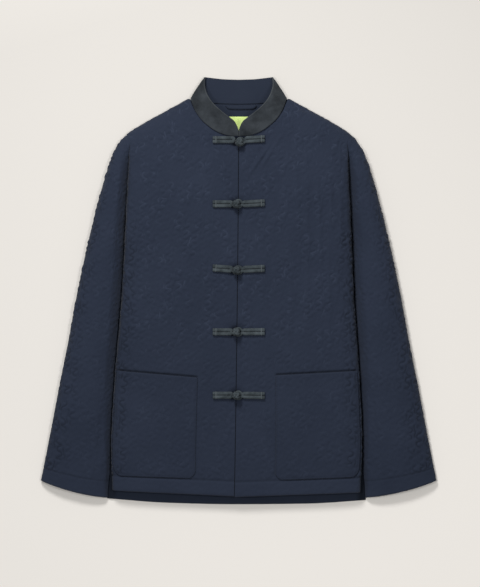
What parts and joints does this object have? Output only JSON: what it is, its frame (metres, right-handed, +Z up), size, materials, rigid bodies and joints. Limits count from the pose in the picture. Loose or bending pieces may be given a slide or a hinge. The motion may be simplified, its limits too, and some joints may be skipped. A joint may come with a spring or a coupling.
{
  "type": "quilted tang jacket",
  "caption": "Padded jacket laid flat on its back: quilted fronts and sleeves, stand collar, frog closures with knot buttons, patch pockets.",
  "frame": {"origin": "on the surface under the middle of the jacket's outline", "axes": "+Y towards the collar, +X towards the wearer's left sleeve, +Z up out of the front"},
  "size_m": [0.6918, 0.747, 0.0503],
  "materials": {
    "quilted_navy": "matte quilted cloth",
    "plain_navy": "matte cloth",
    "collar_cloth": "matte brushed cloth",
    "frog_cord": "matte cloth cord",
    "label": "smooth woven tape"
  },
  "bodies": {
    "root": {"back": "quilted_navy", "front_left": "quilted_navy", "front_left_chest": "quilted_navy", "front_left_side": "quilted_navy", "front_right": "quilted_navy", "front_right_chest": "quilted_navy", "front_right_side": "quilted_navy", "sleeve_left": "quilted_navy", "sleeve_right": "quilted_navy", "pocket_left": "quilted_navy", "pocket_right": "quilted_navy", "collar": "collar_cloth", "collar_lining": "plain_navy", "hanger_loop": "plain_navy", "neck_label": "label", "frog_1_loop": "frog_cord", "frog_1_tail": "frog_cord", "frog_1_knot": "frog_cord", "frog_2_loop": "frog_cord", "frog_2_tail": "frog_cord", "frog_2_knot": "frog_cord", "frog_3_loop": "frog_cord", "frog_3_tail": "frog_cord", "frog_3_knot": "frog_cord", "frog_4_loop": "frog_cord", "frog_4_tail": "frog_cord", "frog_4_knot": "frog_cord", "frog_5_loop": "frog_cord", "frog_5_tail": "frog_cord", "frog_5_knot": "frog_cord"}
  },
  "joints": []
}
